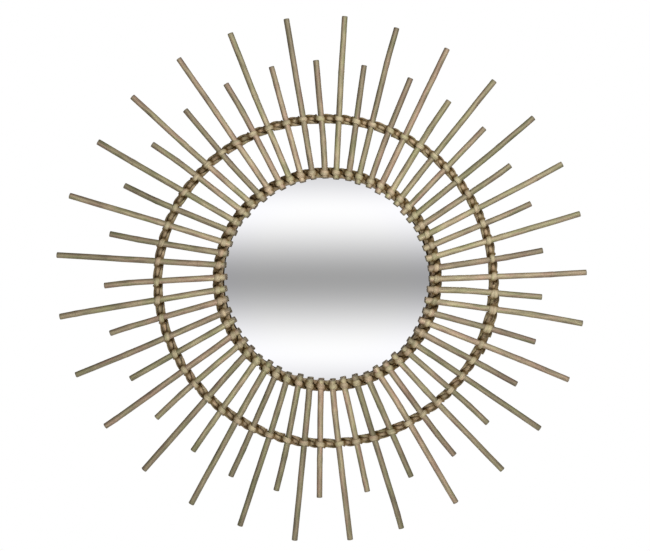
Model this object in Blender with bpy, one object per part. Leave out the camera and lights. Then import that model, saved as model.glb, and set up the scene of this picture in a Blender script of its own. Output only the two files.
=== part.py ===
# A round wall mirror in a sunburst of cane rods, seen from the front along +Y.
#
# X runs to the right, Z up, and the wall is the plane y = 0 with the mirror on its -Y side.
# The origin is the middle of the backing board's back face, where the board meets the wall.
# Angles round the mirror are in degrees, clockwise from straight up, as seen from the front.

import math
import random

import bmesh
import bpy
from mathutils import Vector

# Mirror glass
GLASS_RADIUS = 0.149
GLASS_THICKNESS = 0.003
GLASS_CHAMFER = 0.0006
DISC_SEGMENTS = 64

# Backing board, with a keyhole in its back
BOARD_RIM = 0.0084  # how far the board reaches past the glass
BOARD_THICKNESS = 0.008
BOARD_CHAMFER = 0.001
KEYHOLE_HEIGHT = 0.100  # middle of the round entry above the board's middle
KEYHOLE_ENTRY_RADIUS = 0.005
KEYHOLE_SLOT_RADIUS = 0.0025
KEYHOLE_TRAVEL = 0.014
KEYHOLE_LIP = 0.0028
KEYHOLE_FLOOR = 0.0014  # what is left of the board in front of the hollow
KEYHOLE_ARC_STEPS = 6

# The ovals that set out the work, each slightly off the middle, as handwork is. The inner
# hoop's middle line runs just outside the glass, and the rays' feet end just inside its edge.
LONG_TIPS = {"half_width": 0.3817, "half_height": 0.3763, "left": 0.0059, "rise": 0.0005}
SHORT_TIPS = {"half_width": 0.3159, "half_height": 0.3125, "left": 0.0038, "rise": 0.0004}
OUTER_HOOP = {"half_width": 0.2424, "half_height": 0.2344, "left": 0.0015, "rise": -0.0032}
INNER_HOOP = {
    "half_width": GLASS_RADIUS + 0.0090,
    "half_height": GLASS_RADIUS + 0.0052,
    "left": -0.0008,
    "rise": -0.0008,
}
RAY_FEET = {
    "half_width": GLASS_RADIUS - 0.0026,
    "half_height": GLASS_RADIUS - 0.0040,
    "left": 0.0,
    "rise": -0.0009,
}

# A woven ring is a hoop of round cane with two thin strands twined round it.
HOOP_CANE_RADIUS = 0.00375
STRAND_RADIUS = 0.0018
RING_SHOULDER = 0.70  # how far out the ring's diagonal corners stand, as a share of its reach

# Rays
RAY_PAIRS = 29
RAY_RADIUS = 0.0045  # at the foot
RAY_TAPER = 0.075  # how much thinner a ray is at its tip, as a share
RAY_RADIUS_SPREAD = 0.03  # a share of the radius
RAY_FOOT_SPREAD = 0.0019
RAY_TIP_SPREAD = 0.0025
RAY_BOW_SPREAD = 0.0030  # sideways, for a joint at the middle of the ray

# How the rays are set out, measured on one circle between the hoops
SPACING_RADIUS = 0.190
FIRST_RAY_ANGLE = 3.2
SPACING_WAVES = ((1, 1.44, -11.3), (2, 0.36, 10.8), (3, 0.29, 42.4))  # count, degrees, peak
SPACING_SPREAD = 0.32  # degrees
LEAN = 0.0086  # how far a ray's line passes to the side of the mirror's middle
LEAN_WAVES = ((1, 0.0012, -90.0), (2, 0.0045, 52.9))  # count, metres, peak
LEAN_SPREAD = 0.0030

# Each cane has one joint where a leaf grew, a slightly swollen band.
JOINT_SWELL = 1.07
JOINT_HALF_LENGTH = 0.005
JOINT_CLEAR = 0.014  # least distance from a hoop's middle or from an end
JOINTS_OUTSIDE = 0.7  # the share of joints that lie beyond the outer hoop

# The lowest long ray is glued to the outer ring and the lowest short ray to the inner ring,
# and each of these pairs is one solid.
GLUED_PAIR = 14
GLUE_BITE = 0.0006

CLEARANCE = 0.0003
ROD_SIDES = 8
SEED = 58

# Depths, worked out from the wall forward
GLASS_BACK = -(BOARD_THICKNESS + CLEARANCE)
GLASS_FRONT = GLASS_BACK - GLASS_THICKNESS
RING_BACK_REACH = HOOP_CANE_RADIUS + 2 * STRAND_RADIUS
HOOP_Y = -(BOARD_THICKNESS + CLEARANCE + RING_BACK_REACH)
RAY_BACK = HOOP_Y - HOOP_CANE_RADIUS - CLEARANCE


def clear_scene():
    for obj in list(bpy.data.objects):
        bpy.data.objects.remove(obj, do_unlink=True)


def make_material(name, color, roughness, metallic=0.0):
    material = bpy.data.materials.new(name)
    material.use_nodes = True
    shader = material.node_tree.nodes["Principled BSDF"]
    shader.inputs["Base Color"].default_value = (*color, 1.0)
    shader.inputs["Roughness"].default_value = roughness
    shader.inputs["Metallic"].default_value = metallic
    return material


def mesh_from(name, bm):
    bmesh.ops.recalc_face_normals(bm, faces=bm.faces)
    mesh = bpy.data.meshes.new(name)
    bm.to_mesh(mesh)
    bm.free()
    return mesh


def add_object(name, mesh, material):
    obj = bpy.data.objects.new(name, mesh)
    mesh.materials.append(material)
    bpy.context.scene.collection.objects.link(obj)
    return obj


def shade_round(obj, edge_angle=40.0):
    obj.data.shade_smooth()
    obj.data.set_sharp_from_angle(angle=math.radians(edge_angle))


def apply_boolean(obj, cutter, operation):
    """Join with or cut by another object, keep the result and remove the other."""
    modifier = obj.modifiers.new(operation.lower(), "BOOLEAN")
    modifier.operation = operation
    modifier.object = cutter
    modifier.solver = "EXACT"
    depsgraph = bpy.context.evaluated_depsgraph_get()
    mesh = bpy.data.meshes.new_from_object(obj.evaluated_get(depsgraph))
    obj.modifiers.clear()
    obj.data = mesh
    bpy.data.objects.remove(cutter, do_unlink=True)


def compass(angle):
    """The direction at an angle clockwise from up, in the plane of the mirror."""
    turn = math.radians(angle)
    return Vector((math.sin(turn), 0.0, math.cos(turn)))


def at_depth(y):
    return Vector((0.0, y, 0.0))


def wave_sum(waves, angle):
    return sum(size * math.cos(math.radians(count * (angle - peak))) for count, size, peak in waves)


def oval_middle(oval):
    return Vector((-oval["left"], 0.0, oval["rise"]))


def oval_point(oval, angle):
    way = compass(angle)
    return oval_middle(oval) + Vector((way.x * oval["half_width"], 0.0, way.z * oval["half_height"]))


def oval_angle(oval, point):
    """The angle whose oval_point is the given point."""
    away = point - oval_middle(oval)
    return math.degrees(math.atan2(away.x / oval["half_width"], away.z / oval["half_height"]))


def reach_to_oval(start, heading, oval):
    """How far along a heading a line from inside the oval meets it."""
    away = start - oval_middle(oval)
    width = oval["half_width"]
    height = oval["half_height"]
    a = (heading.x / width) ** 2 + (heading.z / height) ** 2
    b = 2 * (away.x * heading.x / width**2 + away.z * heading.z / height**2)
    c = (away.x / width) ** 2 + (away.z / height) ** 2 - 1
    return (-b + math.sqrt(b * b - 4 * a * c)) / (2 * a)


def skin_rings(bm, rings, closed):
    """Join rings of vertices into a tube, with a cap on each end of an open one."""
    count = len(rings) if closed else len(rings) - 1
    for index in range(count):
        near = rings[index]
        far = rings[(index + 1) % len(rings)]
        for step in range(len(near)):
            other = (step + 1) % len(near)
            bm.faces.new((near[step], near[other], far[other], far[step]))
    if not closed:
        bm.faces.new(rings[0])
        bm.faces.new(rings[-1])


def ray_layout(index, tips, draw):
    """Where one ray lies: its foot, heading, length, bow, thickness and joint."""
    even_angle = 360.0 * index / (2 * RAY_PAIRS)
    angle = FIRST_RAY_ANGLE + even_angle + wave_sum(SPACING_WAVES, even_angle)
    angle += draw.uniform(-1, 1) * SPACING_SPREAD
    lean = LEAN + wave_sum(LEAN_WAVES, even_angle) + draw.uniform(-1, 1) * LEAN_SPREAD
    heading = compass(angle - math.degrees(math.asin(lean / SPACING_RADIUS)))
    on_circle = compass(angle) * SPACING_RADIUS
    nearest = on_circle - heading * on_circle.dot(heading)
    foot_distance = reach_to_oval(nearest, heading, RAY_FEET) + draw.uniform(-1, 1) * RAY_FOOT_SPREAD
    foot = nearest + heading * foot_distance
    length = reach_to_oval(foot, heading, tips) + draw.uniform(-1, 1) * RAY_TIP_SPREAD
    over_inner = reach_to_oval(foot, heading, INNER_HOOP)
    over_outer = reach_to_oval(foot, heading, OUTER_HOOP)
    joint_span = (over_outer, length) if draw.random() < JOINTS_OUTSIDE else (over_inner, over_outer)
    joint_room = joint_span[1] - joint_span[0] - 2 * JOINT_CLEAR
    return {
        "foot": foot,
        "heading": heading,
        "length": length,
        "over_inner": over_inner,
        "over_outer": over_outer,
        "joint": joint_span[0] + JOINT_CLEAR + joint_room * draw.random(),
        "bow": draw.uniform(-1, 1) * RAY_BOW_SPREAD,
        "radius": RAY_RADIUS * (1 + draw.uniform(-1, 1) * RAY_RADIUS_SPREAD),
    }


def ray_mesh(name, layout, glued_to=None):
    """A tapering rod that bends a little at its swollen joint. A glued one dips into its ring."""
    length = layout["length"]
    joint = layout["joint"]
    stations = (
        (0.0, 1.0),
        (joint - JOINT_HALF_LENGTH, 1.0),
        (joint, JOINT_SWELL),
        (joint + JOINT_HALF_LENGTH, 1.0),
        (length, 1.0),
    )
    hoop_gap = layout["over_outer"] - layout["over_inner"]
    across = at_depth(1.0).cross(layout["heading"])
    bm = bmesh.new()
    rings = []
    for distance, swell in stations:
        share = distance / length
        dip = 0.0
        if glued_to == "outer":
            dip = (distance - layout["over_inner"]) / hoop_gap
        if glued_to == "inner":
            dip = (layout["over_outer"] - distance) / hoop_gap
        radius = layout["radius"] * (1 - RAY_TAPER * share)
        middle = layout["foot"] + layout["heading"] * distance
        middle += across * layout["bow"] * 4 * share * (1 - share)
        middle += at_depth(RAY_BACK - radius + dip * (CLEARANCE + GLUE_BITE))
        ring = []
        for step in range(ROD_SIDES):
            turn = 2 * math.pi * step / ROD_SIDES
            offset = across * math.cos(turn) + at_depth(math.sin(turn))
            ring.append(bm.verts.new(middle + offset * radius * swell))
        rings.append(ring)
    skin_rings(bm, rings, closed=False)
    return mesh_from(name, bm)


def ring_section(side, front, back):
    """Eight corners of a woven ring, as outward and depth offsets from the hoop's middle."""
    diagonal = side * RING_SHOULDER
    return (
        (side, 0.0),
        (diagonal, back * RING_SHOULDER),
        (0.0, back),
        (-diagonal, back * RING_SHOULDER),
        (-side, 0.0),
        (-diagonal, -front * RING_SHOULDER),
        (0.0, -front),
        (diagonal, -front * RING_SHOULDER),
    )


def woven_ring_mesh(name, hoop, ray_angles):
    """The hoop with its strands: behind it at each ray, and beside it between two rays."""
    bare = HOOP_CANE_RADIUS
    bound = HOOP_CANE_RADIUS + 2 * STRAND_RADIUS
    at_ray = ring_section(bare, bare, bound)
    between_rays = ring_section(bound, bare, bare)
    stations = []
    for index, angle in enumerate(ray_angles):
        following = ray_angles[(index + 1) % len(ray_angles)]
        gap = (following - angle) % 360.0
        stations.append((angle, at_ray))
        stations.append((angle + gap / 2, between_rays))
    bm = bmesh.new()
    rings = []
    for angle, section in stations:
        middle = oval_point(hoop, angle) + at_depth(HOOP_Y)
        outward = (oval_point(hoop, angle) - oval_middle(hoop)).normalized()
        rings.append([bm.verts.new(middle + outward * out + at_depth(deep)) for out, deep in section])
    skin_rings(bm, rings, closed=True)
    return mesh_from(name, bm)


def build_sunburst(ray_material, ring_material):
    """The rays, and the two woven rings behind them."""
    draw = random.Random(SEED)
    layouts = []
    for index in range(2 * RAY_PAIRS):
        kind = "short" if index % 2 else "long"
        name = f"ray_{kind}_{index // 2 + 1:02d}"
        tips = SHORT_TIPS if index % 2 else LONG_TIPS
        layouts.append((name, ray_layout(index, tips, draw)))
    glued = {2 * GLUED_PAIR: "outer", 2 * GLUED_PAIR + 1: "inner"}
    for index, (name, layout) in enumerate(layouts):
        if index not in glued:
            shade_round(add_object(name, ray_mesh(name, layout), ray_material))
    for index, place in glued.items():
        hoop = OUTER_HOOP if place == "outer" else INNER_HOOP
        ray_angles = []
        for _, layout in layouts:
            crossing = layout["foot"] + layout["heading"] * layout[f"over_{place}"]
            ray_angles.append(oval_angle(hoop, crossing))
        ray_name, layout = layouts[index]
        name = f"{place}_woven_ring_with_{ray_name}"
        ring = add_object(name, woven_ring_mesh(name, hoop, ray_angles), ring_material)
        ray = add_object(ray_name, ray_mesh(ray_name, layout, place), ray_material)
        apply_boolean(ring, ray, "UNION")
        shade_round(ring)


def disc_mesh(name, radius, back, front, chamfer):
    """A flat round plate with both rims chamfered."""
    profile = (
        (radius - chamfer, back),
        (radius, back - chamfer),
        (radius, front + chamfer),
        (radius - chamfer, front),
    )
    bm = bmesh.new()
    rings = []
    for reach, depth in profile:
        turns = (360.0 * step / DISC_SEGMENTS for step in range(DISC_SEGMENTS))
        rings.append([bm.verts.new(compass(turn) * reach + at_depth(depth)) for turn in turns])
    skin_rings(bm, rings, closed=False)
    return mesh_from(name, bm)


def slot_outline(radius, travel):
    """A slot from the keyhole's entry straight up, with round ends."""
    outline = []
    for end_height, first_angle in ((travel, -90.0), (0.0, 90.0)):
        for step in range(KEYHOLE_ARC_STEPS + 1):
            corner = compass(first_angle + 180.0 * step / KEYHOLE_ARC_STEPS) * radius
            outline.append(corner + Vector((0.0, 0.0, KEYHOLE_HEIGHT + end_height)))
    return outline


def entry_outline(radius):
    count = 2 * KEYHOLE_ARC_STEPS
    middle = Vector((0.0, 0.0, KEYHOLE_HEIGHT))
    return [middle + compass(360.0 * step / count) * radius for step in range(count)]


def cutter_object(name, outline, back, front):
    bm = bmesh.new()
    rings = [[bm.verts.new(corner + at_depth(depth)) for corner in outline] for depth in (back, front)]
    skin_rings(bm, rings, closed=False)
    cutter = bpy.data.objects.new(name, mesh_from(name, bm))
    bpy.context.scene.collection.objects.link(cutter)
    cutter.hide_render = True
    cutter.display_type = "WIRE"
    return cutter


def build_board(material):
    """A round board. A screw's head goes in at the entry and slides up behind the slot's lip."""
    mesh = disc_mesh("backing_board", GLASS_RADIUS + BOARD_RIM, 0.0, -BOARD_THICKNESS, BOARD_CHAMFER)
    board = add_object("backing_board", mesh, material)
    hollow_front = KEYHOLE_FLOOR - BOARD_THICKNESS
    overlap = 0.001
    hollow = slot_outline(KEYHOLE_ENTRY_RADIUS + CLEARANCE, KEYHOLE_TRAVEL)
    slot = slot_outline(KEYHOLE_SLOT_RADIUS, KEYHOLE_TRAVEL)
    entry = entry_outline(KEYHOLE_ENTRY_RADIUS)
    cuts = (
        ("hollow", hollow, -KEYHOLE_LIP, hollow_front),
        ("slot", slot, overlap, -KEYHOLE_LIP - overlap),
        ("entry", entry, overlap, -KEYHOLE_LIP - overlap),
    )
    for name, outline, back, front in cuts:
        apply_boolean(board, cutter_object(name, outline, back, front), "DIFFERENCE")
    shade_round(board)


def build_glass(material):
    mesh = disc_mesh("mirror_glass", GLASS_RADIUS, GLASS_BACK, GLASS_FRONT, GLASS_CHAMFER)
    shade_round(add_object("mirror_glass", mesh, material))


def main():
    clear_scene()
    build_board(make_material("board", (0.30, 0.22, 0.14), 0.7))
    build_glass(make_material("silvered_glass", (0.85, 0.86, 0.87), 0.02, 1.0))
    ray_material = make_material("ray_cane", (0.50, 0.41, 0.26), 0.55)
    ring_material = make_material("ring_cane", (0.36, 0.27, 0.15), 0.6)
    build_sunburst(ray_material, ring_material)


main()
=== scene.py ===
# Looks of a round wall mirror in a sunburst of rattan canes.
# x runs to the right, z up, the wall is y = 0 and the mirror faces -y. Lengths are in metres.
# Angles round the mirror are in degrees, clockwise from straight up, as seen from the front.
import math
import random

import bmesh
import bpy
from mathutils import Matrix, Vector, noise


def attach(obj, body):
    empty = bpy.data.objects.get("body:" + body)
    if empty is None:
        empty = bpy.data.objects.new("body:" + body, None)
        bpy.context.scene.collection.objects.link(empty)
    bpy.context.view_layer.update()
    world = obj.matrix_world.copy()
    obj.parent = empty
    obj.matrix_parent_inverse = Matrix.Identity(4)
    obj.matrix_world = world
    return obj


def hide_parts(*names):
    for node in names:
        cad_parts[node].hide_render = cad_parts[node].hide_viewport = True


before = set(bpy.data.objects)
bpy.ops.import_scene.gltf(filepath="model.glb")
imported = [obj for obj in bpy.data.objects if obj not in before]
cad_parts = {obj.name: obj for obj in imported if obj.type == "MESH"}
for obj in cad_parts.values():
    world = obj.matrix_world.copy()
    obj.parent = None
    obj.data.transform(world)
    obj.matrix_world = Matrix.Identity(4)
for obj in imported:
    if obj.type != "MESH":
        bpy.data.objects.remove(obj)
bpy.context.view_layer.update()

scene = bpy.context.scene
scene.view_settings.view_transform = "Standard"

# Camera, in front of the glass, a little to the right of its middle and above it.
# The lens is shifted so that the mirror stays in the middle of the picture.
cameraSpot = {"aside": -0.0029, "away": 1.925, "height": 0.0043, "right": 0.055, "up": 0.055,
              "lens": 73.2, "sensor": 36.0}

cameraData = bpy.data.cameras.new("camera")
cameraData.lens = cameraSpot["lens"]
cameraData.sensor_width = cameraSpot["sensor"]
camera = bpy.data.objects.new("camera", cameraData)
fieldWidth = cameraSpot["away"] * cameraSpot["sensor"] / cameraSpot["lens"]
cameraData.shift_x = -cameraSpot["right"] / fieldWidth
cameraData.shift_y = -cameraSpot["up"] / fieldWidth
camera.location = (cameraSpot["aside"] + cameraSpot["right"], -cameraSpot["away"],
                   cameraSpot["height"] + cameraSpot["up"])
camera.rotation_euler = (math.pi / 2, 0.0, 0.0)
scene.collection.objects.link(camera)
scene.camera = camera

# How the rays and hoops are set out: the same sizes and the same draws as the solids
setOut = {
    "pairs": 29,             # of one long and one short ray
    "glassRadius": 0.149,
    "rayRadius": 0.0045,
    "rayTaper": 0.075,       # how much thinner a ray is at its tip, as a share
    "rayRadiusSpread": 0.03,
    "footSpread": 0.0019,    # how far the feet and tips lie off their ovals, either way
    "tipSpread": 0.0025,
    "bowSpread": 0.0030,
    "circle": 0.190,         # radius at which the rays are spaced out
    "firstAngle": 3.2,
    "spacingWaves": ((1, 1.44, -11.3), (2, 0.36, 10.8), (3, 0.29, 42.4)),  # waves round, size, peak
    "spacingSpread": 0.32,
    "lean": 0.0086,          # how far beside the mirror's middle a ray points
    "leanWaves": ((1, 0.0012, -90.0), (2, 0.0045, 52.9)),
    "leanSpread": 0.0030,
    "jointClear": 0.014,     # a joint keeps this far from a hoop and from the tip
    "jointsOutside": 0.7,    # share of the joints that lie outside the outer hoop
    "gluedPair": 14,         # counted from 0
    "glueBite": 0.0006,
    "clearance": 0.0003,
    "boardThickness": 0.008,
    "hoopRadius": 0.00375,
    "strandRadius": 0.0018,
    "seed": 58,
}
longTips = {"halfWidth": 0.3817, "halfHeight": 0.3763, "left": 0.0059, "rise": 0.0005}
shortTips = {"halfWidth": 0.3159, "halfHeight": 0.3125, "left": 0.0038, "rise": 0.0004}
outerHoop = {"halfWidth": 0.2424, "halfHeight": 0.2344, "left": 0.0015, "rise": -0.0032}
innerHoop = {"halfWidth": 0.1580, "halfHeight": 0.1542, "left": -0.0008, "rise": -0.0008}
rayFeet = {"halfWidth": 0.1464, "halfHeight": 0.1450, "left": 0.0, "rise": -0.0009}

# How far the middles of the hoops and the backs of the rays stand off the wall
ringReach = setOut["hoopRadius"] + 2 * setOut["strandRadius"]
hoopDepth = setOut["boardThickness"] + setOut["clearance"] + ringReach
rayBackDepth = hoopDepth + setOut["hoopRadius"] + setOut["clearance"]


def compass(angle):
    turn = math.radians(angle)
    return Vector((math.sin(turn), 0.0, math.cos(turn)))


def deep(depth):
    return Vector((0.0, -depth, 0.0))  # depth is counted from the wall towards the room


def clamp(value):
    return max(0.0, min(1.0, value))


def waveSum(waves, angle):
    return sum(size * math.cos(math.radians(count * (angle - peak))) for count, size, peak in waves)


def ovalMiddle(oval):
    return Vector((-oval["left"], 0.0, oval["rise"]))


def ovalPoint(oval, angle):
    way = compass(angle)
    return ovalMiddle(oval) + Vector((way.x * oval["halfWidth"], 0.0, way.z * oval["halfHeight"]))


def ovalAngle(oval, point):
    away = point - ovalMiddle(oval)
    return math.degrees(math.atan2(away.x / oval["halfWidth"], away.z / oval["halfHeight"]))


def reachToOval(start, heading, oval):
    away = start - ovalMiddle(oval)
    width, height = oval["halfWidth"], oval["halfHeight"]
    a = (heading.x / width) ** 2 + (heading.z / height) ** 2
    b = 2 * (away.x * heading.x / width**2 + away.z * heading.z / height**2)
    c = (away.x / width) ** 2 + (away.z / height) ** 2 - 1
    return (-b + math.sqrt(b * b - 4 * a * c)) / (2 * a)


def layOutRay(index, draw):
    tips = shortTips if index % 2 else longTips
    evenAngle = 180.0 * index / setOut["pairs"]
    angle = setOut["firstAngle"] + evenAngle + waveSum(setOut["spacingWaves"], evenAngle)
    angle += draw.uniform(-1, 1) * setOut["spacingSpread"]
    lean = setOut["lean"] + waveSum(setOut["leanWaves"], evenAngle)
    lean += draw.uniform(-1, 1) * setOut["leanSpread"]
    heading = compass(angle - math.degrees(math.asin(lean / setOut["circle"])))
    onCircle = compass(angle) * setOut["circle"]
    nearest = onCircle - heading * onCircle.dot(heading)
    footDistance = reachToOval(nearest, heading, rayFeet) + draw.uniform(-1, 1) * setOut["footSpread"]
    foot = nearest + heading * footDistance
    length = reachToOval(foot, heading, tips) + draw.uniform(-1, 1) * setOut["tipSpread"]
    overInner = reachToOval(foot, heading, innerHoop)
    overOuter = reachToOval(foot, heading, outerHoop)
    span = (overOuter, length) if draw.random() < setOut["jointsOutside"] else (overInner, overOuter)
    room = span[1] - span[0] - 2 * setOut["jointClear"]
    joint = span[0] + setOut["jointClear"] + room * draw.random()
    bow = draw.uniform(-1, 1) * setOut["bowSpread"]
    radius = setOut["rayRadius"] * (1 + draw.uniform(-1, 1) * setOut["rayRadiusSpread"])
    kind = "short" if index % 2 else "long"
    pairOf = index // 2
    glued = {2 * setOut["gluedPair"]: "outer", 2 * setOut["gluedPair"] + 1: "inner"}.get(index)
    return {
        "node": f"ray_{kind}_{pairOf + 1:02d}",
        "piece": f"{kind}_cane_{pairOf + 1:02d}",
        "foot": foot,
        "heading": heading,
        "length": length,
        "overInner": overInner,
        "overOuter": overOuter,
        "joint": joint,
        "bow": bow,
        "radius": radius,
        "glued": glued,
    }


rayDraw = random.Random(setOut["seed"])
rays = [layOutRay(index, rayDraw) for index in range(2 * setOut["pairs"])]
print("set out", len(rays), "rays")


noiseSpan = (0.3, 0.7)  # most of a noise lies between these
bumpDepth = 0.0003


# Shader graph helpers
def newMaterial(name):
    material = bpy.data.materials.new(name)
    material.use_nodes = True
    graph = material.node_tree
    return material, graph, graph.nodes["Principled BSDF"]


def addNode(graph, kind, **settings):
    node = graph.nodes.new(kind)
    for key, value in settings.items():
        setattr(node, key, value)
    return node


def plug(graph, source, target):
    graph.links.new(source, target)


def noiseNode(graph, place, scale, detail=2.0, roughness=0.5):
    node = addNode(graph, "ShaderNodeTexNoise")
    node.inputs["Scale"].default_value = scale
    node.inputs["Detail"].default_value = detail
    node.inputs["Roughness"].default_value = roughness
    plug(graph, place, node.inputs["Vector"])
    return node.outputs["Fac"]


def stretched(graph, place, scale):
    node = addNode(graph, "ShaderNodeMapping")
    node.inputs["Scale"].default_value = scale
    plug(graph, place, node.inputs["Vector"])
    return node.outputs["Vector"]


def ramp(graph, value, stops):
    node = addNode(graph, "ShaderNodeValToRGB")
    elements = node.color_ramp.elements
    while len(elements) < len(stops):
        elements.new(0.5)
    for element, (position, color) in zip(elements, stops):
        element.position = position
        element.color = (*color, 1.0)
    plug(graph, value, node.inputs["Fac"])
    return node.outputs["Color"]


def mixColors(graph, factor, first, second, blend="MIX"):
    # In a colour mix, sockets 0, 6 and 7 are the factor and the two colours, and 2 is what comes out.
    node = addNode(graph, "ShaderNodeMix", data_type="RGBA", blend_type=blend)
    for value, socket in ((factor, node.inputs[0]), (first, node.inputs[6]), (second, node.inputs[7])):
        if isinstance(value, bpy.types.NodeSocket):
            plug(graph, value, socket)
        elif isinstance(value, tuple):
            socket.default_value = (*value, 1.0)
        else:
            socket.default_value = value
    return node.outputs[2]


def rescale(graph, value, fromLow, fromHigh, toLow=0.0, toHigh=1.0, smooth=False):
    node = addNode(graph, "ShaderNodeMapRange")
    if smooth:
        node.interpolation_type = "SMOOTHSTEP"
    numbers = {"From Min": fromLow, "From Max": fromHigh, "To Min": toLow, "To Max": toHigh}
    for key, number in numbers.items():
        node.inputs[key].default_value = number
    plug(graph, value, node.inputs["Value"])
    return node.outputs["Result"]


def combine(graph, operation, first, second):
    node = addNode(graph, "ShaderNodeMath", operation=operation)
    for value, socket in zip((first, second), node.inputs):
        if isinstance(value, bpy.types.NodeSocket):
            plug(graph, value, socket)
        else:
            socket.default_value = value
    return node.outputs["Value"]


def reading(graph, name):
    return addNode(graph, "ShaderNodeAttribute", attribute_name=name).outputs["Fac"]


def addBump(graph, shader, height, strength):
    bump = addNode(graph, "ShaderNodeBump")
    bump.inputs["Strength"].default_value = strength
    bump.inputs["Distance"].default_value = bumpDepth
    plug(graph, height, bump.inputs["Height"])
    plug(graph, bump.outputs["Normal"], shader.inputs["Normal"])


# Finishes of the cane. Colours are linear.
rayFinish = {
    "pale": (0.595, 0.50, 0.315),
    "rosy": (0.60, 0.42, 0.295),
    "green": (0.49, 0.465, 0.245),
    "streak": (0.25, 0.20, 0.12),
    "streakShare": 0.6,
    "fibre": (0.84, 0.81, 0.76),
    # The flank colour and its share paint shade on a cane's flanks, where its surface faces sideways along
    # the wall: painted shade.
    "flankShade": (0.46, 0.43, 0.37),
    "flankShadeShare": 1.0,
    "patches": (0.62, 1.16),
    "jointLine": (0.17, 0.12, 0.07),
    # cutEdgeAndShade: the colour of the dark band at a ray's ends, partly the cut edge's own colour and
    # partly painted shade
    "cutEdgeAndShade": (0.12, 0.10, 0.07),
    "shade": (0.30, 0.22, 0.11),
    "roughness": (0.46, 0.60),
    "gloss": 0.40,
    "bump": 0.35,
}
strandFinish = dict(
    rayFinish,
    pale=(0.68, 0.57, 0.365),
    rosy=(0.66, 0.48, 0.32),
    green=(0.58, 0.53, 0.30),
    shade=(0.165, 0.098, 0.033),
    flankShadeShare=0.1,
)
hoopFinish = dict(
    rayFinish,
    pale=(0.64, 0.50, 0.30),
    rosy=(0.60, 0.42, 0.25),
    green=(0.50, 0.43, 0.23),
    shade=(0.135, 0.078, 0.025),
)

# The patterns in the cane, which all the finishes share
caneGrain = {
    "drift": (45.0, 0.55, 2.0, 0.5),      # noise scale, share of it lengthwise, detail, roughness
    "streaks": (420.0, 0.035, 3.0, 0.6),
    "fibres": (1900.0, 0.03, 3.0, 0.65),
    "specks": (520.0, 0.3, 1.0, 0.5),
    "patches": (95.0, 0.4, 2.0, 0.5),
    "tintDrift": 0.8,
    "tintStops": (0.15, 0.48, 0.85),      # where green, pale and rosy lie
    "streaksFrom": (0.52, 0.72),
    "fibresFrom": (0.35, 0.75),
    "fibreShare": 0.35,
    "specksFrom": (0.72, 0.78),
    "speckShare": 0.3,
    "jointBreaks": (0.42, 0.58),          # a joint's line is faint in places
    "jointFaintest": 0.1,
    "glossInShade": 0.02,
    "streakDip": -0.8,
}


def grainNoise(graph, place, pattern):
    scale, lengthwise, detail, roughness = caneGrain[pattern]
    return noiseNode(graph, stretched(graph, place, (1.0, lengthwise, 1.0)), scale, detail, roughness)


def caneMaterial(name, finish):
    # The caneMap holds the distance round and along the cane, in metres.
    material, graph, shader = newMaterial(name)
    place = addNode(graph, "ShaderNodeUVMap", uv_map="caneMap").outputs["UV"]
    drift = grainNoise(graph, place, "drift")
    tintDrift = rescale(graph, drift, *noiseSpan, -caneGrain["tintDrift"], caneGrain["tintDrift"])
    tint = combine(graph, "ADD", reading(graph, "caneTint"), tintDrift)
    stops = tuple(zip(caneGrain["tintStops"], (finish["green"], finish["pale"], finish["rosy"])))
    color = ramp(graph, rescale(graph, tint, -1.0, 1.0), stops)
    streaks = grainNoise(graph, place, "streaks")
    streakMask = rescale(graph, streaks, *caneGrain["streaksFrom"], 0.0, finish["streakShare"], smooth=True)
    color = mixColors(graph, streakMask, color, finish["streak"])
    fibres = grainNoise(graph, place, "fibres")
    fibreMask = rescale(graph, fibres, *caneGrain["fibresFrom"], 0.0, caneGrain["fibreShare"])
    color = mixColors(graph, fibreMask, color, finish["fibre"], "MULTIPLY")
    specks = grainNoise(graph, place, "specks")
    speckMask = rescale(graph, specks, *caneGrain["specksFrom"], 0.0, caneGrain["speckShare"])
    color = mixColors(graph, speckMask, color, finish["jointLine"])
    patches = rescale(graph, grainNoise(graph, place, "patches"), *noiseSpan, *finish["patches"])
    # caneToneAndPaintedLight holds each ray's own tone together with the painted light near its foot.
    tone = combine(graph, "MULTIPLY", patches, reading(graph, "caneToneAndPaintedLight"))
    color = mixColors(graph, 1.0, color, tone, "MULTIPLY")
    # Painted shade: each cane's flanks are darkened, as if turned away from the light.
    flankShadeMask = combine(graph, "MULTIPLY", reading(graph, "flankShade"), finish["flankShadeShare"])
    color = mixColors(graph, flankShadeMask, color, finish["flankShade"], "MULTIPLY")
    color = mixColors(graph, reading(graph, "inShade"), color, finish["shade"])
    jointBreaks = rescale(graph, drift, *caneGrain["jointBreaks"], caneGrain["jointFaintest"], 1.0)
    jointMask = combine(graph, "MULTIPLY", reading(graph, "atJoint"), jointBreaks)
    color = mixColors(graph, jointMask, color, finish["jointLine"])
    # The ends are painted darker: partly the cut edge's own colour, partly painted shade.
    color = mixColors(graph, reading(graph, "atEnd"), color, finish["cutEdgeAndShade"])
    plug(graph, color, shader.inputs["Base Color"])
    plug(graph, rescale(graph, fibres, *noiseSpan, *finish["roughness"]), shader.inputs["Roughness"])
    gloss = rescale(graph, reading(graph, "inShade"), 0.0, 1.0, finish["gloss"], caneGrain["glossInShade"])
    plug(graph, gloss, shader.inputs["Specular IOR Level"])
    dips = combine(graph, "MULTIPLY", streaks, caneGrain["streakDip"])
    addBump(graph, shader, combine(graph, "ADD", fibres, dips), finish["bump"])
    return material


rayEndFinish = {
    "wood": (0.26, 0.22, 0.15),
    "pore": (0.10, 0.085, 0.06),
    "poreScale": 1500.0,
    "poreRim": (0.18, 0.42),
    "stainScale": 260.0,
    "stainFrom": (0.35, 0.7),
    "stainShare": 0.7,
    "roughness": 0.85,
    "gloss": 0.15,
    "bump": 0.6,
}
strandEndFinish = dict(rayEndFinish, wood=(0.85, 0.80, 0.68), pore=(0.55, 0.48, 0.36))


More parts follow.
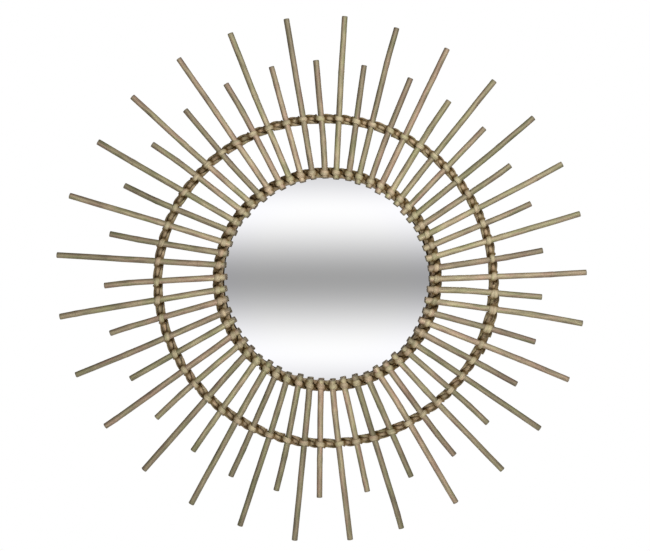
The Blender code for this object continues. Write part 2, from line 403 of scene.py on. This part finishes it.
def cutEndMaterial(name, finish):
    material, graph, shader = newMaterial(name)
    place = addNode(graph, "ShaderNodeTexCoord").outputs["Object"]
    pores = addNode(graph, "ShaderNodeTexVoronoi")
    pores.inputs["Scale"].default_value = finish["poreScale"]
    plug(graph, place, pores.inputs["Vector"])
    mask = rescale(graph, pores.outputs["Distance"], *finish["poreRim"])
    color = mixColors(graph, mask, finish["pore"], finish["wood"])
    stain = noiseNode(graph, place, finish["stainScale"], 3.0)
    stainMask = rescale(graph, stain, *finish["stainFrom"], 0.0, finish["stainShare"])
    color = mixColors(graph, stainMask, color, finish["pore"])
    plug(graph, color, shader.inputs["Base Color"])
    shader.inputs["Roughness"].default_value = finish["roughness"]
    shader.inputs["Specular IOR Level"].default_value = finish["gloss"]
    addBump(graph, shader, mask, finish["bump"])
    return material


rayMaterial = caneMaterial("peeled_ray_cane", rayFinish)
strandMaterial = caneMaterial("twined_strand_cane", strandFinish)
hoopMaterial = caneMaterial("hoop_cane", hoopFinish)
rayEndMaterial = cutEndMaterial("cut_ray_end", rayEndFinish)
strandEndMaterial = cutEndMaterial("cut_strand_end", strandEndFinish)


# Cane bodies: a round, oval or flat section swept along a path
plainMarks = {"caneToneAndPaintedLight": 1.0, "inShade": 0.0, "atJoint": 0.0, "atEnd": 0.0}  # where none are given


def sweptCane(name, path, radii, sides, marks, closed=False, uprights=None, widen=1.0,
              oval=(0.0, 0.0, 0.0)):
    # marks gives the cane's tint and the start of its map, and what differs from plainMarks for each
    # place on the path. uprights is the way that the thin side of a flat strand faces at each place, and
    # widen how much wider it is than thick. oval is how oval a ray is, where, and its twist a metre.
    ovalShare, ovalTurn, ovalTwist = oval
    count = len(path)
    tangents = []
    for index in range(count):
        if closed:
            ahead, behind = path[(index + 1) % count], path[index - 1]
        else:
            ahead, behind = path[min(index + 1, count - 1)], path[max(index - 1, 0)]
        tangents.append((ahead - behind).normalized())
    normal = Vector((0.0, -1.0, 0.0))
    mesh = bpy.data.meshes.new(name)
    points, faces, mapPlaces, flankShades = [], [], [], []
    along = 0.0
    lengths = []
    for index in range(count):
        if index:
            along += (path[index] - path[index - 1]).length
        lengths.append(along)
        tangent = tangents[index]
        if uprights:
            normal = uprights[index]
        normal = (normal - tangent * normal.dot(tangent)).normalized()
        binormal = tangent.cross(normal)
        for side in range(sides):
            turn = 2 * math.pi * side / sides
            reach = radii[index] * (1 + ovalShare * math.cos(2 * (turn - ovalTurn - along * ovalTwist)))
            way = normal * math.cos(turn) + binormal * math.sin(turn)
            # How far the surface here faces sideways, along the wall, for the painted shade on the flanks
            flankShades.append(math.sqrt(max(0.0, 1.0 - way.y**2)))
            points.append(path[index] + (way + binormal * math.sin(turn) * (widen - 1.0)) * reach)
    lengths.append(along + (path[0] - path[-1]).length)  # a closed hoop goes on to its first place
    spans = count if closed else count - 1
    startV = marks["mapStart"]
    around = 2 * math.pi * radii[count // 2]
    for index in range(spans):
        nearRow, farRow = index * sides, ((index + 1) % count) * sides
        nearV, farV = startV + lengths[index], startV + lengths[index + 1]
        for side in range(sides):
            other = (side + 1) % sides
            faces.append((nearRow + side, farRow + side, farRow + other, nearRow + other))
            u0, u1 = around * side / sides, around * (side + 1) / sides
            mapPlaces += [(u0, nearV), (u0, farV), (u1, farV), (u1, nearV)]
    caps = 0 if closed else 2
    if caps:
        for row, order in ((0, 1), (count - 1, -1)):
            rim = [row * sides + side for side in range(sides)]
            faces.append(tuple(rim[::order]))
            mapPlaces += [(0.0, startV)] * sides
    mesh.from_pydata(points, [], faces)
    mapping = mesh.uv_layers.new(name="caneMap")
    for loop, place in zip(mapping.data, mapPlaces):
        loop.uv = place
    values = {}
    for key, plain in plainMarks.items():
        values[key] = [value for value in marks.get(key, [plain] * count) for _ in range(sides)]
    values["caneTint"] = [marks["caneTint"]] * len(points)
    values["flankShade"] = flankShades
    for key in values:
        mesh.attributes.new(key, "FLOAT", "POINT").data.foreach_set("value", values[key])
    mesh.shade_smooth()
    for face in list(mesh.polygons)[len(mesh.polygons) - caps:]:
        face.material_index = 1
        face.use_smooth = False
    obj = bpy.data.objects.new(name, mesh)
    scene.collection.objects.link(obj)
    return obj


def fade(value, span):
    return max(0.0, 1.0 - abs(value) / span)


rayBody = {
    "sides": 20,
    "step": 0.0035,          # from place to place along a ray, and beside its joint
    "jointStep": 0.0007,
    "jointSteps": 5,
    "shortestStep": 0.00025,
    "chamfer": 0.0004,
    "chamferGirth": 0.09,
    "bendRounding": 0.016,
    "bendSamples": 9,
    "wobble": 0.00025,
    "wobbleScale": 28.0,
    "girthWander": 0.022,
    "girthScale": 22.0,
    "jointSwell": 0.055,
    "jointWidth": 0.0042,
    "jointLineWidth": 0.0009,
    "jointLineShift": 0.0005,
    "jointLineShade": 0.55,
    "oval": 0.02,
    "ovalTwist": 9.0,        # radians a metre
    "endShade": 0.75,
    "endShadeWidth": 0.0018,
    "tintSpread": 0.42,
    "toneSpread": 0.21,
    "tipTone": 0.68,
    # footPaintedLight and its width: painted light, how much lighter a ray is painted near its foot, where
    # the inner ring's strands shade it
    "footPaintedLight": 0.16,
    "footPaintedLightWidth": 0.02,
    "mapStep": 0.61,         # each ray's map starts this much later, so each has its own grain
    "seed": 7,
}


def rayStations(length, joint):
    fine = rayBody["chamfer"]
    count = round(length / rayBody["step"])
    places = {0.0, fine, 3 * fine, length - 3 * fine, length - fine, length}
    places.update(length * index / count for index in range(1, count))
    steps = rayBody["jointSteps"]
    places.update(joint + offset * rayBody["jointStep"] for offset in range(-steps, steps + 1))
    ordered = sorted(places)
    kept = [ordered[0]]
    for place in ordered[1:]:
        if place - kept[-1] > rayBody["shortestStep"]:
            kept.append(place)
    kept[-1] = length
    return kept


def bendAt(distance, layout):
    # Two straight lengths that meet in a rounded bend at the joint
    joint, length = layout["joint"], layout["length"]
    share = joint / length
    height = layout["bow"] * 4 * share * (1 - share)
    total, samples = 0.0, rayBody["bendSamples"]
    for index in range(samples):
        place = distance + rayBody["bendRounding"] * (2 * index / (samples - 1) - 1)
        total += height * (place / joint if place < joint else (length - place) / (length - joint))
    return total / samples


def buildRay(index, layout, draw):
    length, joint, radius = layout["length"], layout["joint"], layout["radius"]
    across = Vector((0.0, 1.0, 0.0)).cross(layout["heading"])
    hoopGap = layout["overOuter"] - layout["overInner"]
    phase = draw.uniform(0, 50)
    path, radii = [], []
    marks = {"caneTint": draw.uniform(-1, 1) * rayBody["tintSpread"],
             "mapStart": index * rayBody["mapStep"], "caneToneAndPaintedLight": [], "atJoint": [], "atEnd": []}
    tone = 1 + draw.uniform(-1, 1) * rayBody["toneSpread"]
    for distance in rayStations(length, joint):
        dip = 0.0  # a glued ray leans back until it lies in its hoop
        if layout["glued"] == "outer":
            dip = (distance - layout["overInner"]) / hoopGap
        if layout["glued"] == "inner":
            dip = (layout["overOuter"] - distance) / hoopGap
        middle = layout["foot"] + layout["heading"] * distance
        sideways = bendAt(distance, layout)
        sideways += noise.noise(Vector((distance * rayBody["wobbleScale"], phase, 0.0))) * rayBody["wobble"]
        thin = radius * (1 - setOut["rayTaper"] * distance / length)
        depth = rayBackDepth + thin - dip * (setOut["clearance"] + setOut["glueBite"])
        path.append(middle + across * sideways + deep(depth))
        wander = noise.noise(Vector((distance * rayBody["girthScale"], phase + 9, 3.0)))
        girth = 1 + wander * rayBody["girthWander"]
        fromJoint = (distance - joint) / rayBody["jointWidth"]
        girth += rayBody["jointSwell"] * math.exp(-fromJoint * fromJoint)
        fromEnd = min(distance, length - distance)
        girth -= rayBody["chamferGirth"] * fade(fromEnd, rayBody["chamfer"])
        radii.append(thin * girth)
        lineAt = fade(distance - joint - rayBody["jointLineShift"], rayBody["jointLineWidth"])
        # Painted light: a ray is painted lighter near its foot, against the shade that the inner ring's
        # strands cast there.
        paintedFootLight = 1 + rayBody["footPaintedLight"] * fade(distance, rayBody["footPaintedLightWidth"])
        tipDark = 1 + (rayBody["tipTone"] - 1) * distance / length
        marks["caneToneAndPaintedLight"].append(tone * paintedFootLight * tipDark)
        marks["atJoint"].append(rayBody["jointLineShade"] * lineAt)
        # A short band at each end is painted darker, partly the cut edge's own colour and partly painted
        # shade.
        marks["atEnd"].append(rayBody["endShade"] * fade(fromEnd, rayBody["endShadeWidth"]))
    obj = sweptCane(layout["piece"], path, radii, rayBody["sides"], marks,
                    oval=(rayBody["oval"], draw.uniform(0, 3), rayBody["ovalTwist"]))
    obj.data.materials.append(rayMaterial)
    obj.data.materials.append(rayEndMaterial)
    return obj


rayPieceDraw = random.Random(rayBody["seed"])
for index, layout in enumerate(rays):
    piece = buildRay(index, layout, rayPieceDraw)
    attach(piece, "root")
    if not layout["glued"]:
        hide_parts(layout["node"])
print("made the rays")


# The hoops behind the rays
hoopBody = {
    "sides": 20,
    "steps": 720,
    "wander": 0.02,
    "wobble": 0.0002,
    "driftStep": 0.09,
    "shadeFade": 0.0025,   # how far the shade beside a crossing goes on into the gap
    "tint": {"overOuter": 0.25, "overInner": 0.1},
    "mapStart": {"overOuter": 60.0, "overInner": 70.0},
}
hoopLap = {
    "first": 13.95,   # the crossings, counted from the top, between which the outer hoop's ends lap
    "last": 18.45,
    "out": 0.0045,    # how far outward and backward the far end is laid
    "back": 0.0045,
    "rise": 1.2,      # and over how many crossings it gets there
}


def hoopFrame(hoop, angle):
    # Middle of the hoop, its outward way and its clockwise way
    middle = ovalPoint(hoop, angle)
    outward = (middle - ovalMiddle(hoop)).normalized()
    clockwise = Vector((outward.z, 0.0, -outward.x))
    return middle, outward, clockwise


def crossings(hoop, key):
    found = []
    for layout in rays:
        point = layout["foot"] + layout["heading"] * layout[key]
        angle = ovalAngle(hoop, point)
        if found:
            while angle < found[-1]:
                angle += 360.0
        found.append(angle)
    return found


def buildHoop(name, hoop, key, lap=None):
    # A lapped hoop goes a little more than once round, and its far end lies outside its beginning.
    angles = crossings(hoop, key)
    pitch = 360.0 / len(angles)
    start, last = 0.0, 360.0
    if lap:
        start, last = angles[0] + lap["first"] * pitch, angles[0] + lap["last"] * pitch + 360.0
    path, radii = [], []
    marks = {"caneTint": hoopBody["tint"][key], "mapStart": hoopBody["mapStart"][key], "inShade": []}
    half = setOut["rayRadius"] + 2 * setOut["strandRadius"]
    steps = round(hoopBody["steps"] * (last - start) / 360.0)
    for index in range(steps):
        angle = start + (last - start) * index / steps
        middle, outward = hoopFrame(hoop, angle)[:2]
        drift = noise.noise(Vector((index * hoopBody["driftStep"], marks["mapStart"], 0.0)))
        lapOut, lapBack = 0.0, 0.0
        if lap:
            laid = clamp((angle - start - 360.0) / (lap["rise"] * pitch) + 0.5)
            lapOut, lapBack = laid * lap["out"], laid * lap["back"]
        path.append(middle + outward * (drift * hoopBody["wobble"] + lapOut) + deep(hoopDepth - lapBack))
        radii.append(setOut["hoopRadius"] * (1 + drift * hoopBody["wander"]))
        nearest = min(abs((angle - other + 180.0) % 360.0 - 180.0) for other in angles)
        reach = math.radians(nearest) * (middle - ovalMiddle(hoop)).length
        marks["inShade"].append(clamp(1.0 - (reach - half) / hoopBody["shadeFade"]))
    obj = sweptCane(name, path, radii, hoopBody["sides"], marks, closed=not lap)
    obj.data.materials.append(hoopMaterial)
    obj.data.materials.append(rayEndMaterial)
    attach(obj, "root")
    return obj


# The strands, twined round hoop and rays. Each passes over every other ray and behind the next,
# and the two strands of a ring swap places at every ray.
weave = {
    "sides": 12,
    "step": 0.0013,
    "splinePieces": 6,
    # The crossings, counted from the top, at which a strand begins and, one turn later, ends
    "ends": {"overOuter": (14, 17), "overInner": (34, 33)},
    "widen": 2.0,           # a strand is this much wider than thick
    "crossStart": 0.0023,   # how far out a strand stands where it comes up beside a ray,
    "crossOver": -0.0002,   # on top of the ray,
    "crossEnd": -0.0038,    # and where it goes down again
    "crossBend": 2.5,       # the higher, the later it leaves its place on top
    "slantSpread": 0.0012,
    "leanShare": 0.5,       # how much of a ray's lean its crossing follows
    "wrapAngle": 112.0,     # how far round the ray it lies close
    "wrapShares": (-1.0, -0.68, -0.36, 0.0, 0.36, 0.68, 1.0),
    "crossShade": {         # at each of those shares
        "overOuter": (0.9, 0.85, 0.25, 0.0, 0.25, 0.85, 0.9),
        "overInner": (0.9, 0.95, 0.35, 0.0, 0.35, 0.95, 0.9),
    },
    "sunk": {"overOuter": 0.0009, "overInner": 0.0017},  # how far they press into the rays
    # How far a sinking strand is in front of the hoop's middle in mid-gap, and a rising one behind it
    "midFront": {"overOuter": 0.0018, "overInner": 0.0034},
    "midBack": {"overOuter": 0.0024, "overInner": 0.0006},
    "sinkShade": {"overOuter": 0.3, "overInner": 0.45},
    "riseShade": {"overOuter": 0.45, "overInner": 0.55},
    "backHalf": 0.0045,     # half the length that lies flat behind the hoop, and how far it goes round
    "backTurn": 58.0,
    "slack": {"overOuter": 0.0, "overInner": 0.0003},    # how far the strands stand off the hoop
    "girth": {"overOuter": 0.95, "overInner": 1.04},
    "girthSpread": 0.10,
    "girthScale": 30.0,
    "placeSpread": 0.0005,
    "tintSpread": 0.3,
    "taperSteps": 6,
    "seed": 21,
}


def strandKnots(hoop, key, parity, draw, lap=None, freeEnd=None):
    # Places along one strand, the way its flat side faces at each, and how much it lies in shade there
    angles = crossings(hoop, key)
    total = len(angles)
    first, last = weave["ends"][key][0] + parity, total + weave["ends"][key][1] + parity
    hoopRadius, strandRadius = setOut["hoopRadius"], setOut["strandRadius"] * weave["girth"][key]
    close = hoopRadius + strandRadius + weave["slack"][key]
    knots, facings, shades = [], [], []

    def angleOf(crossing):
        return angles[crossing % total] + 360.0 * (crossing // total)

    def put(crossing, aside, out, front, facing, shade):
        heading = rays[crossing % total]["heading"]
        angle = angleOf(crossing)
        middle, outward, clockwise = hoopFrame(hoop, angle)
        reach = (middle - ovalMiddle(hoop)).length
        lean = heading.dot(clockwise) / heading.dot(outward)
        turned = angle + math.degrees((aside + out * lean * weave["leanShare"]) / reach)
        middle, outward, clockwise = hoopFrame(hoop, turned)
        lapOut = 0.0
        if lap:
            past = crossing + aside / lap["pitch"] - total - lap["first"]
            lapOut = lap["out"] * clamp(past / lap["rise"])
        knots.append(middle + outward * (out + lapOut) + deep(hoopDepth + front))
        facings.append((clockwise * facing[0] + outward * facing[1] + deep(facing[2])).normalized())
        shades.append(shade)

    for crossing in range(first, last + 1):
        layout = rays[crossing % total]
        here, after = angleOf(crossing), angleOf(crossing + 1)
        middle = ovalPoint(hoop, here) - ovalMiddle(hoop)
        halfGap = math.radians(after - here) * middle.length / 2
        jitter = draw.uniform(-1, 1) * weave["placeSpread"]
        if (crossing + parity) % 2 == 0:
            thin = layout["radius"] * (1 - setOut["rayTaper"] * layout[key] / layout["length"])
            wrap = thin + strandRadius - weave["sunk"][key]
            rayFront = hoopRadius + setOut["clearance"] + thin
            if layout["glued"] == ("outer" if key == "overOuter" else "inner"):
                rayFront -= setOut["clearance"] + setOut["glueBite"]
            slant = draw.uniform(-1, 1) * weave["slantSpread"]
            start = weave["crossStart"] + jitter + slant
            end = weave["crossEnd"] + jitter - slant
            for share, shade in zip(weave["wrapShares"], weave["crossShade"][key]):
                turn = math.radians(weave["wrapAngle"] * share)
                over = weave["crossOver"] + jitter - slant * share
                out = over + (start - over if share < 0 else end - over) * abs(share) ** weave["crossBend"]
                facing = (math.sin(turn), 0.0, math.cos(turn))
                put(crossing, wrap * math.sin(turn), out, rayFront + wrap * math.cos(turn), facing, shade)
            ahead = weave["midFront"][key] + jitter
            out = -math.sqrt(close**2 - ahead**2)
            put(crossing, halfGap, out, ahead, (0.0, out, ahead), weave["sinkShade"][key])
        else:
            for share in (-1.0, 0.0, 1.0):
                turn = math.radians(weave["backTurn"] * share)
                out, front = close * math.sin(turn), -close * math.cos(turn)
                put(crossing, weave["backHalf"] * share, out, front, (0.0, out, front), 1.0)
            back = weave["midBack"][key] + jitter
            out = math.sqrt(close**2 - back**2)
            if freeEnd and crossing == last:
                # The strand's last bit stands up out of the gap instead of going on to the next ray.
                for aside, out, front in freeEnd["course"]:
                    put(crossing, halfGap * aside, out, front, (0.0, 1.0, 0.0), freeEnd["shade"])
            else:
                put(crossing, halfGap, out, -back, (0.0, out, -back), weave["riseShade"][key])
    return knots, facings, shades


def smoothPath(knots, facings, shades):
    # A centripetal spline through the knots, read at even steps, with facings and shades blended between
    step, pieces = weave["step"], weave["splinePieces"]
    fine, fineFacings, fineShades = [], [], []
    for index in range(len(knots) - 1):
        p0 = knots[index - 1] if index else knots[0] * 2 - knots[1]
        p1, p2 = knots[index], knots[index + 1]
        p3 = knots[index + 2] if index + 2 < len(knots) else knots[-1] * 2 - knots[-2]
        t1 = (p1 - p0).length ** 0.5
        t2 = t1 + (p2 - p1).length ** 0.5
        t3 = t2 + (p3 - p2).length ** 0.5
        for piece in range(pieces):
            t = t1 + (t2 - t1) * piece / pieces
            a1 = p0 * ((t1 - t) / t1) + p1 * (t / t1)
            a2 = p1 * ((t2 - t) / (t2 - t1)) + p2 * ((t - t1) / (t2 - t1))
            a3 = p2 * ((t3 - t) / (t3 - t2)) + p3 * ((t - t2) / (t3 - t2))
            b1 = a1 * ((t2 - t) / t2) + a2 * (t / t2)
            b2 = a2 * ((t3 - t) / (t3 - t1)) + a3 * ((t - t1) / (t3 - t1))
            fine.append(b1 * ((t2 - t) / (t2 - t1)) + b2 * ((t - t1) / (t2 - t1)))
            fineFacings.append(facings[index].lerp(facings[index + 1], piece / pieces))
            fineShades.append(shades[index] + (shades[index + 1] - shades[index]) * piece / pieces)
    fine.append(knots[-1].copy())
    fineFacings.append(facings[-1])
    fineShades.append(shades[-1])
    even, evenFacings, evenShades, carried = [fine[0]], [fineFacings[0]], [fineShades[0]], 0.0
    for index in range(1, len(fine)):
        start, end = fine[index - 1], fine[index]
        length = (end - start).length
        while carried + length >= step:
            share = (step - carried) / length
            start = start.lerp(end, share)
            even.append(start)
            evenFacings.append(fineFacings[index].normalized())
            evenShades.append(fineShades[index])
            length = (end - start).length
            carried = 0.0
        carried += length
    return even, evenFacings, evenShades


def buildStrand(name, key, course, tint, mapStart, draw, tipTaper=1.0):
    path, uprights, shades = smoothPath(*course)
    phase = draw.uniform(0, 90)
    girth = weave["girth"][key]
    radii = []
    for index in range(len(path)):
        wander = noise.noise(Vector((index * weave["step"] * weave["girthScale"], phase, 0.0)))
        taper = 1 - (1 - tipTaper) * fade(len(path) - 1 - index, weave["taperSteps"])
        radii.append(setOut["strandRadius"] * girth * taper * (1 + wander * weave["girthSpread"]))
    marks = {"caneTint": tint, "mapStart": mapStart, "inShade": shades}
    obj = sweptCane(name, path, radii, weave["sides"], marks, uprights=uprights, widen=weave["widen"])
    obj.data.materials.append(strandMaterial)
    obj.data.materials.append(strandEndMaterial)
    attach(obj, "root")
    return obj


outerHoopPiece = buildHoop("outer_hoop", outerHoop, "overOuter", hoopLap)
innerHoopPiece = buildHoop("inner_hoop", innerHoop, "overInner")
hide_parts("outer_woven_ring_with_ray_long_15")
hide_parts("inner_woven_ring_with_ray_short_15")
print("made the hoops")

# The outer strands' far ends lie on top of their beginnings, on the right-hand side.
# first and rise are counted in crossings, and pitch is the way from one to the next.
strandLap = {"first": 14, "out": 0.0034, "rise": 1.6, "pitch": 0.025}

# One inner strand ends in the open, at the lower left, and shows its cut end.
# Each place of its course is a share of the half gap, how far out and how far in front.
looseEnd = {
    "course": ((0.90, 0.0056, 0.0), (1.08, 0.0054, 0.0045), (1.08, 0.0052, 0.0090)),
    "shade": 0.9,
    "taper": 0.75,
}

# Name, hoop, crossings, parity, start of the map, lap and loose end. A strand of parity 0 passes
# over the long rays and behind the short ones, and one of parity 1 the other way round.
strands = (
    ("outer_strand_a", outerHoop, "overOuter", 0, 80.0, strandLap, None),
    ("outer_strand_b", outerHoop, "overOuter", 1, 85.0, strandLap, None),
    ("inner_strand_a", innerHoop, "overInner", 0, 90.0, None, looseEnd),
    ("inner_strand_b", innerHoop, "overInner", 1, 95.0, None, None),
)
strandDraw = random.Random(weave["seed"])
for name, hoop, key, parity, mapStart, lap, freeEnd in strands:
    course = strandKnots(hoop, key, parity, strandDraw, lap, freeEnd)
    tint = strandDraw.uniform(-weave["tintSpread"], weave["tintSpread"])
    buildStrand(name, key, course, tint, mapStart, strandDraw, freeEnd["taper"] if freeEnd else 1.0)
print("made the strands")

# Mirror glass
glassBody = {"segments": 192, "radius": setOut["glassRadius"], "thickness": 0.003, "chamfer": 0.0006}
glassFinish = {
    "silver": (0.885, 0.885, 0.89),
    # rim: a faint lavender tint painted into the silver near its edge, a painted reflection
    "rim": (0.87, 0.87, 0.895),
    "rimReflectionFrom": 0.095,               # radius at which the silver begins to change towards the rim's painted reflection tint
    "smearScale": 30.0,
    "smears": (0.3, 0.8),
    "roughness": (0.004, 0.012),
    "edge": (0.22, 0.30, 0.27),
    "edgeRoughness": 0.3,
    "edgeGrain": 300.0,
    "paint": (0.20, 0.20, 0.21),
    "paintRoughness": 0.6,
    "paintGrain": 80.0,
}
plainGrain = {"darkest": 0.72, "rougher": 0.12}


def silverMaterial():
    material, graph, shader = newMaterial("silvered_glass_face")
    place = addNode(graph, "ShaderNodeTexCoord").outputs["Object"]
    flatPlace = stretched(graph, place, (1.0, 0.0, 1.0))
    fromMiddle = addNode(graph, "ShaderNodeVectorMath", operation="LENGTH")
    plug(graph, flatPlace, fromMiddle.inputs[0])
    rimReflectionShare = rescale(graph, fromMiddle.outputs["Value"], glassFinish["rimReflectionFrom"], glassBody["radius"],
                    smooth=True)
    # Towards the rim the silver takes on its painted reflection tint.
    silver = mixColors(graph, rimReflectionShare, glassFinish["silver"], glassFinish["rim"])
    plug(graph, silver, shader.inputs["Base Color"])
    smears = noiseNode(graph, place, glassFinish["smearScale"], 4.0)
    roughness = rescale(graph, smears, *glassFinish["smears"], *glassFinish["roughness"])
    plug(graph, roughness, shader.inputs["Roughness"])
    shader.inputs["Metallic"].default_value = 1.0
    return material


def plainMaterial(name, color, roughness, grainScale):
    material, graph, shader = newMaterial(name)
    place = addNode(graph, "ShaderNodeTexCoord").outputs["Object"]
    grain = noiseNode(graph, place, grainScale, 4.0)
    darker = tuple(plainGrain["darkest"] * part for part in color)
    grainMask = rescale(graph, grain, *noiseSpan)
    plug(graph, mixColors(graph, grainMask, darker, color), shader.inputs["Base Color"])
    rough = rescale(graph, grain, *noiseSpan, roughness, roughness + plainGrain["rougher"])
    plug(graph, rough, shader.inputs["Roughness"])
    return material


def buildGlass():
    back = setOut["boardThickness"] + setOut["clearance"]
    front = back + glassBody["thickness"]
    radius, chamfer = glassBody["radius"], glassBody["chamfer"]
    rows = ((radius - chamfer, back), (radius, back + chamfer), (radius, front - chamfer),
            (radius - chamfer, front))
    bm = bmesh.new()
    rings = []
    for reach, depth in rows:
        angles = (360.0 * step / glassBody["segments"] for step in range(glassBody["segments"]))
        rings.append([bm.verts.new(compass(angle) * reach + deep(depth)) for angle in angles])
    for near, far in zip(rings, rings[1:]):
        for step in range(len(near)):
            other = (step + 1) % len(near)
            face = bm.faces.new((near[step], near[other], far[other], far[step]))
            face.material_index = 1
    bm.faces.new(rings[0]).material_index = 2
    bm.faces.new(rings[-1]).material_index = 0
    bmesh.ops.recalc_face_normals(bm, faces=bm.faces)
    mesh = bpy.data.meshes.new("mirror_plate")
    bm.to_mesh(mesh)
    bm.free()
    obj = bpy.data.objects.new("mirror_plate", mesh)
    scene.collection.objects.link(obj)
    mesh.materials.append(silverMaterial())
    mesh.materials.append(plainMaterial("ground_glass_rim", glassFinish["edge"],
                                        glassFinish["edgeRoughness"], glassFinish["edgeGrain"]))
    mesh.materials.append(plainMaterial("mirror_back_paint", glassFinish["paint"],
                                        glassFinish["paintRoughness"], glassFinish["paintGrain"]))
    return obj


glassPiece = buildGlass()
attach(glassPiece, "root")
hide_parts("mirror_glass")
print("made the glass")

# Backing board
boardFinish = {
    "light": (0.36, 0.25, 0.15),
    "dark": (0.22, 0.145, 0.08),
    "speckleScale": 700.0,
    "speckles": (0.35, 0.65),
    "cloudScale": 18.0,
    "cloudShare": 0.35,
    "roughness": (0.7, 0.9),
    "bump": 0.3,
}


def boardMaterial():
    material, graph, shader = newMaterial("fibre_board")
    place = addNode(graph, "ShaderNodeTexCoord").outputs["Object"]
    speckle = noiseNode(graph, place, boardFinish["speckleScale"], 4.0, 0.7)
    speckleMask = rescale(graph, speckle, *boardFinish["speckles"])
    color = mixColors(graph, speckleMask, boardFinish["dark"], boardFinish["light"])
    clouds = noiseNode(graph, place, boardFinish["cloudScale"], 3.0)
    cloudMask = rescale(graph, clouds, *noiseSpan, 0.0, boardFinish["cloudShare"])
    color = mixColors(graph, cloudMask, color, boardFinish["dark"])
    plug(graph, color, shader.inputs["Base Color"])
    plug(graph, rescale(graph, speckle, *noiseSpan, *boardFinish["roughness"]), shader.inputs["Roughness"])
    addBump(graph, shader, speckle, boardFinish["bump"])
    return material


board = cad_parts["backing_board"]
board.data.materials.clear()
board.data.materials.append(boardMaterial())
print("finished the board")

# Floor, lights and surroundings
studio = {
    "floorDepth": 0.52,
    "floorWidth": 4.4,
    "floorBack": 0.46,
    "floorFront": -2.9,
    "floorColor": (0.86, 0.86, 0.85, 1.0),
    "floorRoughness": 0.8,
    "floorGlow": 0.55,
    "keyPlace": (0.54, -0.80, 0.76),
    "keySize": 0.5,
    "keyPower": 8.2,
    "lamps": 4,              # soft ones, round the mirror and in front of it
    "firstLamp": 45.0,
    "lampAway": 1.3,
    "lampAside": 0.75,
    "lampSize": 0.5,
    "lampPower": 1.2,
    "backPlace": (0.0, 1.7, 0.35),  # straight behind, so that it doesn't reach the rays' fronts
    "backSize": 0.8,
    "backPower": 10.0,
    "bandMiddle": -0.0308,   # the camera stands above the middle, so the glass shows it lower
    "bandAbove": 0.0520,     # from its middle to full light, upward
    "bandBelow": 0.0560,     # and downward
    "bandLow": 0.405,
    "bandHigh": 1.12,
    "bandEnd": 1.6,          # where the light has faded again, counted in those spans
    "bandPast": 0.67,
    "fill": 0.125,
    "behind": 0.12,
    "sideFade": (-0.05, 0.25),  # where the light from in front gives way to the light from behind
}


def buildFloor():
    halfWidth = studio["floorWidth"] / 2
    bm = bmesh.new()
    corners = ((-halfWidth, studio["floorFront"]), (halfWidth, studio["floorFront"]),
               (halfWidth, studio["floorBack"]), (-halfWidth, studio["floorBack"]))
    bm.faces.new([bm.verts.new((x, y, -studio["floorDepth"])) for x, y in corners])
    mesh = bpy.data.meshes.new("studio_floor")
    bm.to_mesh(mesh)
    bm.free()
    obj = bpy.data.objects.new("studio_floor", mesh)
    scene.collection.objects.link(obj)
    material, graph, shader = newMaterial("pale_floor")
    shader.inputs["Base Color"].default_value = studio["floorColor"]
    shader.inputs["Roughness"].default_value = studio["floorRoughness"]
    shader.inputs["Emission Color"].default_value = (1.0, 1.0, 1.0, 1.0)
    shader.inputs["Emission Strength"].default_value = studio["floorGlow"]
    mesh.materials.append(material)


def placeLamp(name, place, size, power):
    lampData = bpy.data.lights.new(name, "AREA")
    lampData.shape = "DISK"
    lampData.size = size
    lampData.energy = power
    lamp = bpy.data.objects.new(name, lampData)
    lamp.location = place
    lamp.rotation_mode = "QUATERNION"
    lamp.rotation_quaternion = (-lamp.location).to_track_quat("-Z", "Y")
    lamp.visible_camera = False
    scene.collection.objects.link(lamp)


def buildWorld():
    # White behind the mirror, a soft grey fill, and for the glass a band of light above and below eye level
    world = bpy.data.worlds.new("studio")
    scene.world = world
    world.use_nodes = True
    graph = world.node_tree
    background = graph.nodes["Background"]
    way = addNode(graph, "ShaderNodeSeparateXYZ")
    plug(graph, addNode(graph, "ShaderNodeTexCoord").outputs["Generated"], way.inputs["Vector"])
    offset = combine(graph, "SUBTRACT", way.outputs["Z"], studio["bandMiddle"])
    upward = combine(graph, "DIVIDE", offset, studio["bandAbove"])
    downward = combine(graph, "DIVIDE", offset, -studio["bandBelow"])
    rise = combine(graph, "MAXIMUM", upward, downward)
    band = rescale(graph, rise, 0.0, 1.0, studio["bandLow"], studio["bandHigh"], smooth=True)
    past = rescale(graph, rise, 1.0, studio["bandEnd"], 1.0, studio["bandPast"], smooth=True)
    band = combine(graph, "MULTIPLY", band, past)
    toBack = rescale(graph, way.outputs["Y"], *studio["sideFade"])
    bandColor = mixColors(graph, toBack, band, (studio["behind"],) * 3)
    fillColor = mixColors(graph, toBack, (studio["fill"],) * 3, (studio["behind"],) * 3)
    path = addNode(graph, "ShaderNodeLightPath")
    color = mixColors(graph, path.outputs["Is Glossy Ray"], fillColor, bandColor)
    color = mixColors(graph, path.outputs["Is Camera Ray"], color, (1.0, 1.0, 1.0))
    plug(graph, color, background.inputs["Color"])


buildFloor()
placeLamp("key_lamp", studio["keyPlace"], studio["keySize"], studio["keyPower"])
for number in range(studio["lamps"]):
    turn = studio["firstLamp"] + 360.0 * number / studio["lamps"]
    spot = compass(turn) * studio["lampAside"] + deep(studio["lampAway"])
    placeLamp(f"fill_lamp_{number + 1}", spot, studio["lampSize"], studio["lampPower"])
placeLamp("back_lamp", studio["backPlace"], studio["backSize"], studio["backPower"])
buildWorld()
print("lit the studio")
